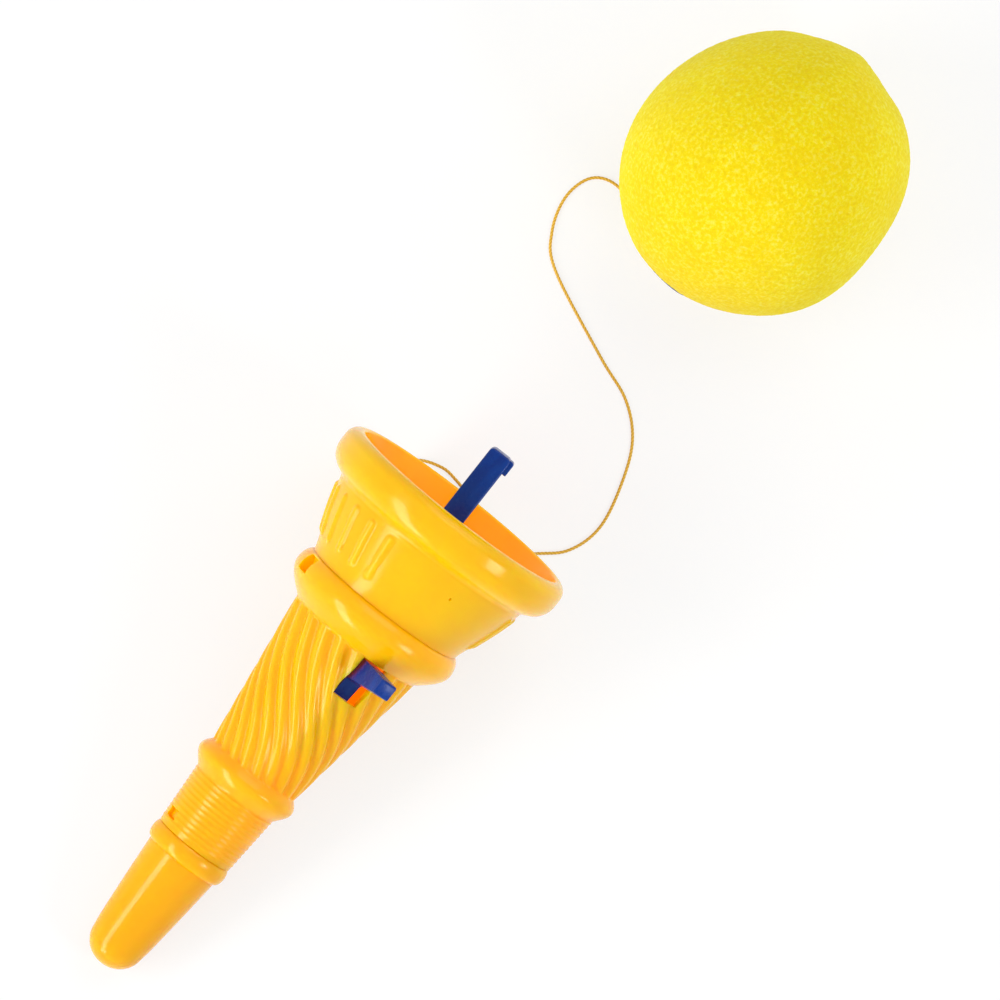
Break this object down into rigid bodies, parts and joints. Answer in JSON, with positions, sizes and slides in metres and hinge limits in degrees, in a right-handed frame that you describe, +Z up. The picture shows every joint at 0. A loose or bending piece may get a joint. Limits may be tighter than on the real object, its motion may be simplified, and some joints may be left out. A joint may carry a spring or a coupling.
{
  "type": "ball shooter toy",
  "caption": "Cone-shaped hand launcher with a flared cup, sprung plunger and trigger, and a foam ball tied on with a string.",
  "frame": {"origin": "on the table, under the middle of the toy's outer box, with the cone lying on its nose and its rim and the ball in front of the mouth", "axes": "+Z up; +X along the table from the nose to the mouth and the ball; +Y to the left of someone looking along +X"},
  "size_m": [0.3508, 0.0934, 0.0864],
  "materials": {
    "nose_cap": "satin amber",
    "cone_body": "satin golden yellow",
    "cup": "satin golden yellow",
    "guide_tube": "plain yellow",
    "tube_plug": "plain yellow",
    "plunger": "glossy blue",
    "main_spring": "zinc plated",
    "trigger": "glossy blue",
    "trigger_pin": "plain",
    "trigger_spring": "plain",
    "foam_ball": "fine open-celled foam, matt",
    "ball_socket": "glossy blue",
    "string": "twisted, matt",
    "string_knot_cup": "twisted, matt",
    "string_knot_ball": "twisted, matt"
  },
  "bodies": {
    "shooter": {"nose_cap": "nose_cap", "cone_body": "cone_body", "cup": "cup", "guide_tube": "guide_tube", "tube_plug": "tube_plug", "main_spring": "main_spring", "trigger_pin": "trigger_pin", "trigger_spring": "trigger_spring", "string_knot_cup": "string_knot_cup", "string": "string"},
    "plunger_body": {"plunger": "plunger"},
    "trigger_body": {"trigger": "trigger"},
    "ball_body": {"foam_ball": "foam_ball", "ball_socket": "ball_socket", "string_knot_ball": "string_knot_ball"}
  },
  "joints": [
    {"name": "plunger_slide", "type": "slide", "parent": "shooter", "child": "plunger_body", "axis": [0.9809, 0, 0.1946], "range_m": [-0.03, 0], "stiffness_N_per_m": 150, "springref_m": 0.004, "deforming": ["main_spring"]},
    {"name": "trigger_pull", "type": "hinge", "parent": "shooter", "child": "trigger_body", "pos_m": [-0.07834, 0.00061, 0.03763], "axis": [0.0853, -0.8988, -0.43], "range_deg": [0, 6], "stiffness_Nm_per_rad": 0.02, "springref_deg": -1.15, "deforming": ["trigger_spring"]},
    {"name": "ball_travel", "type": "slide", "parent": "shooter", "child": "ball_body", "axis": [1, 0, 0], "range_m": [-0.03, 0.05], "deforming": ["string"]}
  ]
}
